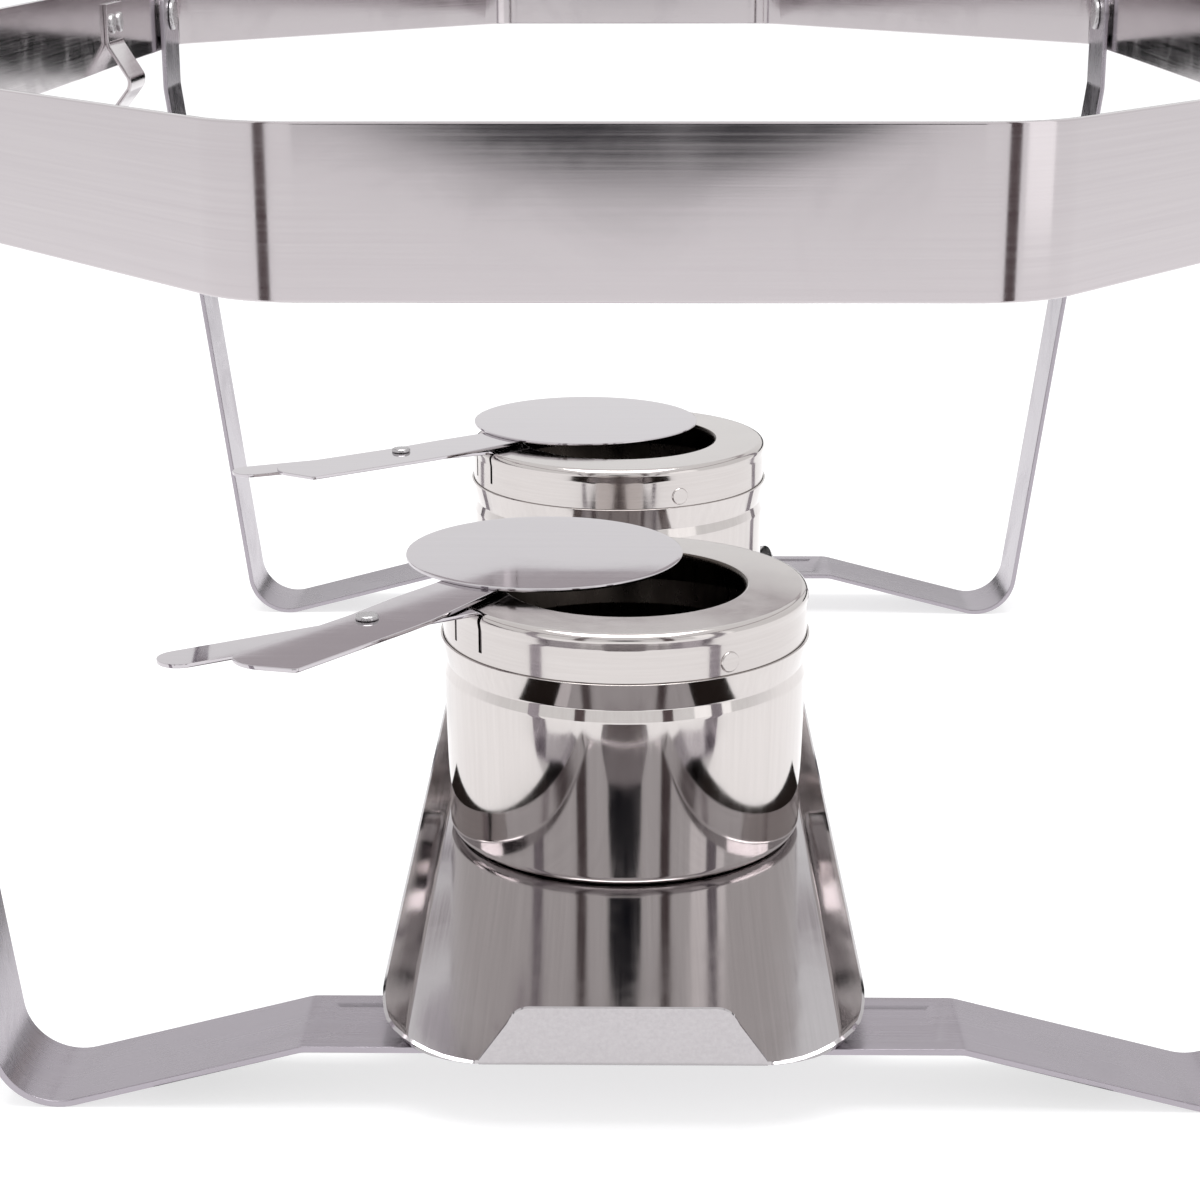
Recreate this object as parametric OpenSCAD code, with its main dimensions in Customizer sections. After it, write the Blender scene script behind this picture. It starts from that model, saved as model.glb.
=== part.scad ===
// Chafing dish food warmer stand: strip-metal band, two folding U legs, a burner tray
// and two fuel holders with swinging dampers.
// Millimetres. +Z up, +Y along the stand, origin on the table under the stand's centre.

/* [Top band] */
// Length of the band, end face to end face
band_length = 670; // [640:1:700]
// Width of the band over its long sides
band_width = 319; // [312:0.5:330]
// Height of the strip that the band is made of
band_height = 24; // [24:0.5:26]
// Thickness of that strip
band_thick = 1.2; // [1:0.1:1.5]
// Height of the band's top edge above the table
band_top = 219.7; // [218:0.1:224]
// Width of the straight part across each end
end_straight = 108; // [96:1:120]
// Length of the straight part of each long side
side_straight = 414; // [410:1:430]
// Outer bend radius at the band's eight corners
band_bend = 18; // [10:1:18]

/* [Legs] */
// Distance from the near leg's centre line to the far leg's
leg_spacing = 364.8; // [350:0.2:366]
// Width of the leg strip
leg_width = 25; // [22:1:25]
// Thickness of the leg strip
leg_thick = 1.5; // [1.2:0.1:2]
// Height of the flat bottom bar's top face above the table
bar_top = 14.5; // [13:0.5:16]
// Distance from the middle of the leg to the lowest point of a foot
foot_reach = 122; // [116:1:126]
// Outer bend radius of a foot
foot_bend = 14; // [12:1:16]
// Fall of the bar towards each foot, degrees
bar_slope = 14.5; // [12:0.5:17]
// Outward lean of the side strips, degrees
side_lean = 7.2; // [6.8:0.1:7.6]
// Depth of the pressed panel in the flat of the bar
panel_depth = 0.4; // [0.2:0.1:0.6]

/* [Burner tray] */
// Length of the tray, end face to end face
tray_length = 407.4; // [396:0.2:420]
// Width of the flat floor
tray_floor = 93; // [93:0.5:96]
// Thickness of the sheet
tray_thick = 0.8; // [0.6:0.1:1]
// Outward reach of a side lip
lip_reach = 5; // [4:0.5:7]
// Height of a side lip above the floor
lip_rise = 6.5; // [5:0.5:8]
// Height of the upturned tab at each end
tab_rise = 14; // [10:0.5:16]
// Sideways rest position of the loose tray
tray_x = -2; // [-4:0.5:4]

/* [Fuel holders] */
// Outer radius of the cup at its base
cup_base_r = 45.05; // [44.8:0.05:45.5]
// Outer radius of the cup below its neck
cup_top_r = 46; // [45.8:0.1:46.2]
// Thickness of the cup and cap sheet
shell_thick = 0.6; // [0.5:0.1:0.7]
// Radius of the flame hole
flame_r = 30.5; // [28:0.5:32]
// Distance from the holder's axis to the damper pivot
pivot_reach = 73; // [70:0.5:74]
// Distance from the damper pivot to the middle of its disc
disc_reach = 71; // [69:0.5:73]
// Distance from the holder's axis to the tip of the handle
handle_reach = 126; // [115:1:130]
// Width of the handle
handle_width = 11; // [10:0.5:12]
// Radius of the damper disc
disc_r = 36; // [34:0.5:37]
// Near holder: place along the tray
near_y = -66.9; // [-75:0.1:-60]
// Far holder: place along the tray
far_y = 99.7; // [90:0.1:110]
// Near holder: direction its handle points, degrees
near_turn = -147; // [-160:1:-140]
// Far holder: direction its handle points, degrees
far_turn = -156; // [-165:1:-145]
// Near damper: how far it stands open, degrees
near_open = 22.5; // [0:0.5:30]
// Far damper: how far it stands open, degrees
far_open = 14; // [0:0.5:30]

/* [Hidden] */

$fn = 96;
arc_steps = 7;          // flats in a rounded corner of a bent strip
through = 1;            // how far a cutter runs past what it cuts

// band and leg pivots
band_low = band_top - band_height;
band_in = band_width / 2 - band_thick;
pivot_drop = 0.2;
pivot_z = band_top - leg_width / 2 - pivot_drop;
pivot_y = leg_spacing / 2;
pivot_pin_r = 2.5;
pivot_play = 0.07;
washer_thick = 0.75;
washer_play = 0.05;
washer_r = 7;
pivot_head_r = 5;
pivot_head_h = 1.2;
head_play = 0.3;
leg_out = band_in - washer_thick - washer_play;
stop_play = 0.3;
stop_size = [2, 2.5, 4.5];

// leg centre line, worked out from the foot bend
leg_mid = leg_thick / 2;
foot_mid_r = foot_bend - leg_mid;
foot_centre = [foot_reach, foot_bend];
slope_normal = [-sin(bar_slope), -cos(bar_slope)];
side_normal = [cos(side_lean), -sin(side_lean)];
foot_corner = foot_centre
    + foot_mid_r * (slope_normal + side_normal) / (1 + slope_normal * side_normal);
bar_mid_z = bar_top - leg_mid;
flat_x = foot_corner[0] - (bar_mid_z - foot_corner[1]) / tan(bar_slope);
side_x = leg_out - leg_mid;
side_bend_z = foot_corner[1] + (side_x - foot_corner[0]) / tan(side_lean);
leg_end_r = leg_width / 2;
panel_side_edge = 5;
panel_end_edge = 3;

// tray
tray_play = 0.05;
tray_low = bar_top + tray_play;
floor_z = tray_low + tray_thick;
lip_fold_r = 1.6;
lip_taper = 24;
corner_cut = [14.5, 7.7];
tab_base = 60;
tab_tip = 44;
tab_corner_r = 3;

// fuel holders: heights above the cup's underside
base_bend = 2.4;
neck_r = 45.3;
neck_z = 45.5;
shoulder_z = 42.5;
lip_z = 52.5;
lip_r = 47;
cap_top = 64.6;
skirt_r = 46.2;
bead_r = 46.8;
bead_z = 60.5;
skirt_low = 52.4;
plug_r = 44.4;
plug_top = 46.2;
plug_low = 43.2;
flame_lip = 1.6;
slit_low = 55;
slit_in = 43.9;
slit_from = 5.6;
slit_wide = 0.9;
root_clear = 62;
root_deep = 1.55;
grip_turns = [-90, 90, 180];
grip_r = 2.6;
grip_z = 55.7;
grip_rise = 0.4;

// damper: heights above the cup's underside, going up from the handle
handle_thick = 1;
tongue_z = 64.2;
tab_in = 44.26;
tab_low = 54;
spacer_thick = 0.3;
spacer_r = 4.5;
spacer_play = 0.05;
lever_z = tongue_z + handle_thick + spacer_thick + spacer_play;
lever_thick = 1;
disc_z = lever_z + lever_thick;
disc_thick = 0.8;
rivet_r = 1.6;
rivet_play = 0.06;
rivet_head_r = 2.8;
rivet_head_h = 1;
rivet_foot_r = 2.6;
rivet_foot_h = 0.8;
rivet_lift = 0.2;
tail_r = 41.5;

// side bracket: its centre line across the stand, and where it sits
bracket_thick = 1.2;
bracket_wide = 22;
bracket_y = 96;
bracket_path = [[-157.7, 215], [-157.7, 203], [-151.6, 193], [-151.6, 190.5],
    [-157.9, 182.5], [-157.9, 172], [-154, 167]];
bracket_radii = [0, 4, 3, 3, 5, 3, 0];
bracket_rivet_z = 209;
bracket_rivet_r = 1.5;
bracket_head_r = 3;
bracket_head_h = 0.9;

holder_play = 0.05;
near_seat = [tray_x, near_y, floor_z + holder_play];
far_seat = [tray_x - 2.4, far_y, floor_z + holder_play];

steel = "silver";
bright_steel = "gainsboro";

// ---- bent strip: a path thickened to both sides, its corners rounded ----

function unit(v) = v / norm(v);
function left_of(v) = [-v[1], v[0]];
function turn_side(a, b) = sign(a[0] * b[1] - a[1] * b[0]);
function turned(v, angle) = [v[0] * cos(angle) - v[1] * sin(angle),
    v[0] * sin(angle) + v[1] * cos(angle)];

// corner b of the path a-b-c, shifted left by d
function shifted(a, b, c, d) =
    let (n = left_of(unit(b - a)) + left_of(unit(c - b)))
    b + d * n * 2 / (n * n);

// corner b of the path a-b-c, shifted left by d and rounded; r is its middle radius
function rounded(a, b, c, r, d) =
    let (u = unit(b - a), v = unit(c - b), side = turn_side(u, v),
        bend = acos(u * v), radius = r - side * d,
        start = shifted(a, b, c, d) - radius * tan(bend / 2) * u,
        centre = start + side * radius * left_of(u))
    [for (i = [0 : arc_steps])
        centre + turned(start - centre, side * bend * i / arc_steps)];

// open path shifted left by d
function side_line(path, radii, d) =
    let (last = len(path) - 1)
    concat([path[0] + d * left_of(unit(path[1] - path[0]))],
        [for (i = [1 : last - 1])
            each rounded(path[i - 1], path[i], path[i + 1], radii[i], d)],
        [path[last] + d * left_of(unit(path[last] - path[last - 1]))]);

function reversed(list) = [for (i = [len(list) - 1 : -1 : 0]) list[i]];

module strip(path, radii, thick) {
    polygon(concat(side_line(path, radii, thick / 2),
        reversed(side_line(path, radii, -thick / 2))));
}

// closed loop of corners, shifted left by d and rounded
function loop_line(loop, r, d) =
    let (n = len(loop))
    [for (i = [0 : n - 1])
        each rounded(loop[(i + n - 1) % n], loop[i], loop[(i + 1) % n], r, d)];

// turns a drawing of [x, z] points upright and gives it a width along Y
module across(wide) {
    rotate([90, 0, 0])
        linear_extrude(wide, center = true)
            children();
}

// ---- frame ----

module top_band() {
    x = band_width / 2;
    y = band_length / 2;
    loop = [[x, -side_straight / 2], [x, side_straight / 2],
        [end_straight / 2, y], [-end_straight / 2, y],
        [-x, side_straight / 2], [-x, -side_straight / 2],
        [-end_straight / 2, -y], [end_straight / 2, -y]];
    color(steel) {
        difference() {
            translate([0, 0, band_low])
                linear_extrude(band_height)
                    polygon(loop_line(loop, band_bend, 0));
            translate([0, 0, band_low - through])
                linear_extrude(band_height + 2 * through)
                    polygon(loop_line(loop, band_bend, band_thick));
            for (end = [-1, 1])
                translate([0, end * pivot_y, pivot_z])
                    rotate([0, 90, 0])
                        cylinder(h = band_width + 2 * through, r = pivot_pin_r, center = true);
            bracket_holes();
        }
        leg_stops();
    }
}

// small tabs that the open legs lean against, one beside each side strip
module leg_stops() {
    for (side = [-1, 1], end = [-1, 1])
        translate([side * (band_in - stop_size[0] / 2),
            end * (pivot_y + leg_width / 2 + stop_play + stop_size[1] / 2),
            band_low + 1 + stop_size[2] / 2])
            cube(stop_size, center = true);
}

module bracket_holes() {
    for (y = [-1, 1])
        translate([-band_width / 2, bracket_y + y * bracket_wide / 4, bracket_rivet_z])
            rotate([0, 90, 0])
                cylinder(h = 10, r = bracket_rivet_r, center = true);
}

module side_bracket() {
    color(steel)
        difference() {
            translate([0, bracket_y, 0])
                across(bracket_wide)
                    strip(bracket_path, bracket_radii, bracket_thick);
            bracket_holes();
        }
}

module bracket_rivets() {
    inner = bracket_path[0][0] + bracket_thick / 2;
    outer = -band_width / 2;
    color(steel)
        for (y = [-1, 1])
            translate([0, bracket_y + y * bracket_wide / 4, bracket_rivet_z])
                rotate([0, 90, 0]) {
                    translate([0, 0, outer - bracket_head_h])
                        cylinder(h = bracket_head_h, r1 = bracket_head_r * 0.6,
                            r2 = bracket_head_r);
                    translate([0, 0, outer])
                        cylinder(h = inner - outer, r = bracket_rivet_r);
                    translate([0, 0, inner])
                        cylinder(h = bracket_head_h, r1 = bracket_head_r,
                            r2 = bracket_head_r * 0.6);
                }
}

// one leg: strip bent to a U with a raised flat bar, round feet and leaning sides
module leg(y) {
    half = [[flat_x, bar_mid_z], foot_corner, [side_x, side_bend_z],
        [side_x, pivot_z + leg_end_r]];
    half_radii = [8, foot_mid_r, 12, 0];
    path = concat([for (p = reversed(half)) [-p[0], p[1]]], half);
    radii = concat(reversed(half_radii), half_radii);
    color(steel)
        difference() {
            intersection() {
                translate([0, y, 0])
                    across(leg_width)
                        strip(path, radii, leg_thick);
                union() {
                    translate([0, y, pivot_z / 2 - through])
                        cube([band_width, leg_width + 2, pivot_z + 2 * through], center = true);
                    translate([0, y, pivot_z])
                        rotate([0, 90, 0])
                            cylinder(h = band_width, r = leg_end_r, center = true);
                }
            }
            translate([0, y, pivot_z])
                rotate([0, 90, 0])
                    cylinder(h = band_width, r = pivot_pin_r + pivot_play, center = true);
            translate([0, y, bar_top])
                cube([2 * (flat_x - panel_end_edge), leg_width - 2 * panel_side_edge,
                    2 * panel_depth], center = true);
        }
}

module near_leg() {
    leg(-pivot_y);
}

module far_leg() {
    leg(pivot_y);
}

// pivot rivets: pin through band, washer and leg, with a head at each end
module leg_rivets(y) {
    inner_head = leg_out - leg_thick - head_play;
    outer = band_width / 2;
    color(steel)
        for (side = [0, 1])
            mirror([side, 0, 0])
                translate([0, y, pivot_z])
                    rotate([0, 90, 0]) {
                        translate([0, 0, inner_head - pivot_head_h])
                            cylinder(h = pivot_head_h, r1 = pivot_head_r * 0.7,
                                r2 = pivot_head_r);
                        translate([0, 0, inner_head])
                            cylinder(h = outer - inner_head, r = pivot_pin_r);
                        translate([0, 0, outer])
                            cylinder(h = pivot_head_h, r1 = pivot_head_r,
                                r2 = pivot_head_r * 0.7);
                    }
}

module near_leg_rivets() {
    leg_rivets(-pivot_y);
}

module far_leg_rivets() {
    leg_rivets(pivot_y);
}

module leg_washers(y) {
    color(steel)
        for (side = [0, 1])
            mirror([side, 0, 0])
                translate([band_in - washer_thick, y, pivot_z])
                    rotate([0, 90, 0])
                        difference() {
                            cylinder(h = washer_thick, r = washer_r);
                            translate([0, 0, -through])
                                cylinder(h = washer_thick + 2 * through, r = pivot_pin_r);
                        }
}

module near_leg_washers() {
    leg_washers(-pivot_y);
}

module far_leg_washers() {
    leg_washers(pivot_y);
}

// ---- burner tray ----

module burner_tray() {
    half_floor = tray_floor / 2;
    half_lip = half_floor + lip_reach;
    mid = tray_low + tray_thick / 2;
    section = [[-half_lip, mid + lip_rise], [-half_floor, mid],
        [half_floor, mid], [half_lip, mid + lip_rise]];
    color(bright_steel)
        translate([tray_x, 0, 0]) {
            difference() {
                across(tray_length)
                    strip(section, [0, lip_fold_r, lip_fold_r, 0], tray_thick);
                for (side = [0, 1], end = [0, 1])
                    mirror([side, 0, 0])
                        mirror([0, end, 0]) {
                            floor_corner_cut(half_floor);
                            lip_end_cut();
                        }
            }
            for (end = [0, 1])
                mirror([0, end, 0])
                    end_tab();
        }
}

// slants off the corner of the floor, with the end of its lip
module floor_corner_cut(half_floor) {
    edge = tray_length / 2;
    translate([0, 0, tray_low - through])
        linear_extrude(lip_rise + 2 * through + 2)
            polygon([[half_floor - corner_cut[0], edge + 0.01],
                [half_floor, edge - corner_cut[1]],
                [half_floor + 2 * lip_reach, edge - corner_cut[1] - 3],
                [half_floor + 2 * lip_reach, edge + through],
                [half_floor - corner_cut[0], edge + through]]);
}

// brings the lip down to the floor over its last stretch
module lip_end_cut() {
    edge = tray_length / 2 - corner_cut[1];
    top = tray_low + lip_rise + 3;
    translate([tray_floor / 2 - 2, 0, 0])
        rotate([90, 0, 90])
            linear_extrude(lip_reach + 6)
                polygon([[edge - lip_taper, top], [edge - lip_taper * 0.55, floor_z + lip_rise * 0.92],
                    [edge - lip_taper * 0.2, floor_z + lip_rise * 0.5],
                    [edge + through, floor_z + 0.4], [edge + through, top]]);
}

module end_tab() {
    edge = tray_length / 2;
    low = tray_low;
    top = floor_z + tab_rise;
    translate([0, edge, 0])
        rotate([90, 0, 0])
            linear_extrude(tray_thick)
                polygon(concat([[-tab_base / 2, low]], [[tab_base / 2, low]],
                    rounded([tab_base / 2, low], [tab_tip / 2, top], [-tab_tip / 2, top],
                        tab_corner_r, 0),
                    rounded([tab_tip / 2, top], [-tab_tip / 2, top], [-tab_base / 2, low],
                        tab_corner_r, 0)));
}

// ---- fuel holder: every module is drawn about the holder's own axis ----

// puts a piece on its seat, with the handle's direction along +X
module placed(seat, turn) {
    translate(seat)
        rotate([0, 0, turn])
            children();
}

module cup() {
    half = shell_thick / 2;
    path = [[0, half], [cup_base_r - half, half], [cup_top_r - half, shoulder_z],
        [neck_r - half, neck_z], [lip_r - half, lip_z]];
    color(bright_steel)
        rotate_extrude($fn = 128)
            strip(path, [0, base_bend, 2.5, 1.2, 0], shell_thick);
}

module cap() {
    half = shell_thick / 2;
    path = [[flame_r + half, cap_top - flame_lip], [flame_r + half, cap_top - half],
        [bead_r - half, cap_top - half], [skirt_r - half, bead_z],
        [skirt_r - half, skirt_low], [plug_r - half, plug_top], [plug_r - half, plug_low]];
    color(bright_steel) {
        difference() {
            rotate_extrude($fn = 128)
                strip(path, [0, 0.6, 1.6, 4, 1, 1, 0], shell_thick);
            for (side = [0, 1])
                mirror([0, side, 0])
                    translate([slit_in, slit_from, slit_low])
                        cube([10, slit_wide, cap_top]);
            translate([slit_in, -slit_from - slit_wide / 2, tongue_z - spacer_play])
                cube([10, 2 * slit_from + slit_wide, cap_top]);
            translate([slit_in, -slit_from - slit_wide / 2, root_clear])
                cube([root_deep, 2 * slit_from + slit_wide, cap_top]);
        }
        for (turn = grip_turns)
            rotate([0, 0, turn])
                translate([skirt_r - shell_thick, 0, grip_z])
                    rotate([0, 90, 0])
                        cylinder(h = shell_thick + grip_rise, r1 = grip_r, r2 = grip_r * 0.8);
    }
}

// handle: down-turned root inside the skirt, flat tongue out over the flap between the slits
module handle() {
    mid = handle_thick / 2;
    path = [[tab_in + mid, tab_low], [tab_in + mid, tongue_z + mid],
        [handle_reach, tongue_z + mid]];
    color(bright_steel)
        difference() {
            intersection() {
                across(handle_width)
                    strip(path, [0, 1, 0], handle_thick);
                translate([0, 0, tab_low - through])
                    linear_extrude(cap_top)
                        union() {
                            translate([0, -handle_width / 2])
                                square([handle_reach - handle_width / 2, handle_width]);
                            translate([handle_reach - handle_width / 2, 0])
                                circle(r = handle_width / 2);
                        }
            }
            translate([pivot_reach, 0, tongue_z - through])
                cylinder(h = handle_thick + 2 * through, r = rivet_r);
        }
}

module pivot_washer() {
    color(steel)
        translate([pivot_reach, 0, tongue_z + handle_thick])
            difference() {
                cylinder(h = spacer_thick, r = spacer_r);
                translate([0, 0, -through])
                    cylinder(h = spacer_thick + 2 * through, r = rivet_r);
            }
}

module pivot_rivet() {
    head_z = lever_z + lever_thick + rivet_lift;
    color(steel)
        translate([pivot_reach, 0, 0]) {
            translate([0, 0, tongue_z - rivet_foot_h])
                cylinder(h = rivet_foot_h, r1 = rivet_foot_r * 0.8, r2 = rivet_foot_r);
            translate([0, 0, tongue_z])
                cylinder(h = head_z - tongue_z, r = rivet_r);
            translate([0, 0, head_z])
                cylinder(h = rivet_head_h, r1 = rivet_head_r, r2 = rivet_head_r * 0.6);
        }
}

// swings a damper piece open; inside, +X runs from the pivot to the disc's centre
module swung(open) {
    translate([pivot_reach, 0, 0])
        rotate([0, 0, 180 + open])
            children();
}

module damper_lever(open) {
    tail_from = 169;
    tail_to = 194;
    color(bright_steel)
        swung(open)
            translate([0, 0, lever_z])
                difference() {
                    linear_extrude(lever_thick)
                        polygon(concat([[36, -10.5], [52, -8], [52, 7], [33, 6.3], [17, 6.4],
                            [0, 5.6], [-20, 6]],
                            [for (i = [0 : arc_steps])
                                let (a = tail_from + (tail_to - tail_from) * i / arc_steps)
                                tail_r * [cos(a), sin(a)]],
                            [[-14, -13], [8, -13.2]]));
                    translate([0, 0, -through])
                        cylinder(h = lever_thick + 2 * through, r = rivet_r + rivet_play);
                }
}

module damper_disc(open) {
    color(bright_steel)
        swung(open)
            translate([disc_reach, 0, disc_z])
                cylinder(h = disc_thick, r = disc_r);
}

module near_cup() {
    placed(near_seat, near_turn) cup();
}

module near_cap() {
    placed(near_seat, near_turn) cap();
}

module near_handle() {
    placed(near_seat, near_turn) handle();
}

module near_damper_disc() {
    placed(near_seat, near_turn) damper_disc(near_open);
}

module near_damper_lever() {
    placed(near_seat, near_turn) damper_lever(near_open);
}

module near_pivot_rivet() {
    placed(near_seat, near_turn) pivot_rivet();
}

module near_pivot_washer() {
    placed(near_seat, near_turn) pivot_washer();
}

module far_cup() {
    placed(far_seat, far_turn) cup();
}

module far_cap() {
    placed(far_seat, far_turn) cap();
}

module far_handle() {
    placed(far_seat, far_turn) handle();
}

module far_damper_disc() {
    placed(far_seat, far_turn) damper_disc(far_open);
}

module far_damper_lever() {
    placed(far_seat, far_turn) damper_lever(far_open);
}

module far_pivot_rivet() {
    placed(far_seat, far_turn) pivot_rivet();
}

module far_pivot_washer() {
    placed(far_seat, far_turn) pivot_washer();
}

top_band();
side_bracket();
bracket_rivets();
near_leg();
far_leg();
near_leg_rivets();
far_leg_rivets();
near_leg_washers();
far_leg_washers();
burner_tray();
near_cup();
near_cap();
near_handle();
near_damper_disc();
near_damper_lever();
near_pivot_rivet();
near_pivot_washer();
far_cup();
far_cap();
far_handle();
far_damper_disc();
far_damper_lever();
far_pivot_rivet();
far_pivot_washer();
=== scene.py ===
"""Looks for a chafing dish food warmer stand: a strip-steel band on two folding U legs,
with a burner tray and two fuel holders. Metres, +Z up, +Y away from the camera."""

import math

import bmesh
import bpy
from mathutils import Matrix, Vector


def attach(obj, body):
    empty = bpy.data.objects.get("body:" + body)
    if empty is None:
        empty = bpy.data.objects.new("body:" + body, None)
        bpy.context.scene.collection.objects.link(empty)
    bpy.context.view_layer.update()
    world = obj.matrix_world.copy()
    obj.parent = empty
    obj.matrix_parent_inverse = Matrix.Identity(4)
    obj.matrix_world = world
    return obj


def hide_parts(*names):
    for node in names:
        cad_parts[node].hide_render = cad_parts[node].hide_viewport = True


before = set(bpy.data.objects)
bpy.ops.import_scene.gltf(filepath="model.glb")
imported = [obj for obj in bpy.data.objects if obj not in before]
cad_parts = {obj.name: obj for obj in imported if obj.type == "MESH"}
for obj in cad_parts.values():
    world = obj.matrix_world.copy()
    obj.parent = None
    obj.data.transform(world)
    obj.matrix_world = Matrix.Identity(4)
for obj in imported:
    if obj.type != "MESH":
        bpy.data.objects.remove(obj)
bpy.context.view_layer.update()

MM = 0.001


# ---------------------------------------------------------------- shaping helpers


def deselect_all():
    bpy.ops.object.select_all(action="DESELECT")


def finish_mesh(piece, name):
    """Names a piece and its mesh alike."""
    piece.name = name
    piece.data.name = name
    deselect_all()
    return piece


def begin(piece):
    """Makes the piece the only selected object and opens it in edit mode."""
    deselect_all()
    piece.select_set(True)
    bpy.context.view_layer.objects.active = piece
    bpy.ops.object.mode_set(mode="EDIT")


def done():
    bpy.ops.object.mode_set(mode="OBJECT")


def pick(piece, kind, test):
    """Selects what passes the test, which is given its middle and its normal (an edge's run)."""
    bpy.ops.mesh.select_mode(type=kind)
    bpy.ops.mesh.select_all(action="DESELECT")
    mesh = bmesh.from_edit_mesh(piece.data)
    if kind == "FACE":
        for face in mesh.faces:
            if test(face.calc_center_median(), face.normal):
                face.select_set(True)
    elif kind == "EDGE":
        for edge in mesh.edges:
            a, b = edge.verts[0].co, edge.verts[1].co
            if test((a + b) / 2, (b - a).normalized()):
                edge.select_set(True)
    else:
        for vert in mesh.verts:
            if test(vert.co, vert.normal):
                vert.select_set(True)
    mesh.select_flush_mode()
    bmesh.update_edit_mesh(piece.data)


def modify(piece, kind, **settings):
    """Adds a modifier with its settings and applies it."""
    deselect_all()
    piece.select_set(True)
    bpy.context.view_layer.objects.active = piece
    modifier = piece.modifiers.new(kind.title(), kind)
    for key, value in settings.items():
        setattr(modifier, key, value)
    bpy.ops.object.modifier_apply(modifier=modifier.name)


def smooth(piece, angle=35):
    """Rounds the shading over bends but leaves flats flat and edges crisp."""
    deselect_all()
    piece.select_set(True)
    bpy.context.view_layer.objects.active = piece
    bpy.ops.object.shade_smooth_by_angle(angle=math.radians(angle))
    modify(piece, "WEIGHTED_NORMAL", mode="FACE_AREA", weight=100, keep_sharp=True)
    deselect_all()


def outward(piece):
    """Merges doubles, then turns every face outwards."""
    begin(piece)
    bpy.ops.mesh.select_all(action="SELECT")
    bpy.ops.mesh.remove_doubles(threshold=2e-6)
    bpy.ops.mesh.normals_make_consistent(inside=False)
    done()


def rounded(corners, radii, step=5):
    """The path through the corners with each one bent to its radius, a point every few degrees."""
    points = [Vector(corners[0])]
    for before, here, after, radius in zip(corners, corners[1:], corners[2:], radii):
        before, here, after = Vector(before), Vector(here), Vector(after)
        come = (here - before).normalized()
        go = (after - here).normalized()
        bend = come.angle(go)
        if radius <= 0 or bend < 1e-4:
            points.append(here)
            continue
        start = here - come * radius * math.tan(bend / 2)
        inward = (go - come * come.dot(go)).normalized()
        centre = start + inward * radius
        flats = max(2, round(math.degrees(bend) / step))
        for i in range(flats + 1):
            a = bend * i / flats
            points.append(centre - inward * radius * math.cos(a) + come * radius * math.sin(a))
    points.append(Vector(corners[-1]))
    return points


def single_vertex(place):
    """A mesh of one vertex, open in edit mode and selected."""
    deselect_all()
    bpy.ops.mesh.primitive_plane_add(size=0.002, location=place)
    bpy.ops.object.transform_apply(location=True, rotation=True, scale=True)
    piece = bpy.context.object
    bpy.ops.object.mode_set(mode="EDIT")
    bpy.ops.mesh.select_mode(type="VERT")
    bpy.ops.mesh.select_all(action="SELECT")
    bpy.ops.mesh.merge(type="CENTER")
    bpy.ops.mesh.select_all(action="SELECT")
    return piece


def run_along(points):
    """Extrudes the selection from point to point."""
    for here, there in zip(points, points[1:]):
        bpy.ops.mesh.extrude_region_move(TRANSFORM_OT_translate={"value": there - here})


def bent_strip(name, points, across, thick, edge=0.25 * MM):
    """A strip bent along the points; `across` is the vector over its width."""
    across = Vector(across)
    piece = single_vertex(points[0] - across / 2)
    bpy.ops.mesh.extrude_region_move(TRANSFORM_OT_translate={"value": across})
    bpy.ops.mesh.select_all(action="SELECT")
    bpy.ops.mesh.select_mode(type="EDGE")
    run_along(points)
    bpy.ops.mesh.select_all(action="SELECT")
    bpy.ops.mesh.remove_doubles(threshold=2e-6)
    bpy.ops.mesh.normals_make_consistent(inside=False)
    done()
    finish_mesh(piece, name)
    modify(piece, "SOLIDIFY", thickness=thick, offset=0, use_even_offset=True)
    if edge:
        round_edges(piece, edge)
    return piece


def round_edges(piece, width):
    """Breaks the edges sharper than 50 degrees."""
    modify(piece, "BEVEL", width=width, segments=2, limit_method="ANGLE",
           angle_limit=math.radians(50), use_clamp_overlap=True, harden_normals=False)


def spun(name, points, centre, steps=144):
    """A sheet turned about an upright axis; the points are (radius, 0, height)."""
    centre = Vector(centre)
    piece = single_vertex(centre + points[0])
    run_along(points)
    bpy.ops.mesh.select_all(action="SELECT")
    bpy.ops.mesh.spin(steps=steps, angle=math.tau, center=centre, axis=(0, 0, 1))
    done()
    finish_mesh(piece, name)
    outward(piece)
    return piece


def thicken(piece, thick, edge=0.12 * MM, angle=32):
    """Gives a sheet its thickness, breaks its edges and smooths its bends."""
    modify(piece, "SOLIDIFY", thickness=thick, offset=0, use_even_offset=True)
    if edge:
        round_edges(piece, edge)
    smooth(piece, angle)
    return piece


def outlined(name, points, z, thick, edge=0.15 * MM):
    """A flat plate: the closed outline is drawn point by point, filled and thickened upwards."""
    points = [Vector((p.x, p.y, z + thick / 2)) for p in points]
    piece = single_vertex(points[0])
    run_along(points + [points[0]])
    bpy.ops.mesh.select_all(action="SELECT")
    bpy.ops.mesh.remove_doubles(threshold=2e-6)
    bpy.ops.mesh.select_all(action="SELECT")
    bpy.ops.mesh.edge_face_add()
    bpy.ops.mesh.normals_make_consistent(inside=False)
    done()
    finish_mesh(piece, name)
    return thicken(piece, thick, edge, 40)


def join(first, *others):
    """Makes one object of several, in the first one's place."""
    deselect_all()
    for piece in (first, *others):
        piece.select_set(True)
    bpy.context.view_layer.objects.active = first
    bpy.ops.object.join()
    deselect_all()
    return first


# ---------------------------------------------------------------- sizes shared with the part

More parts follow.
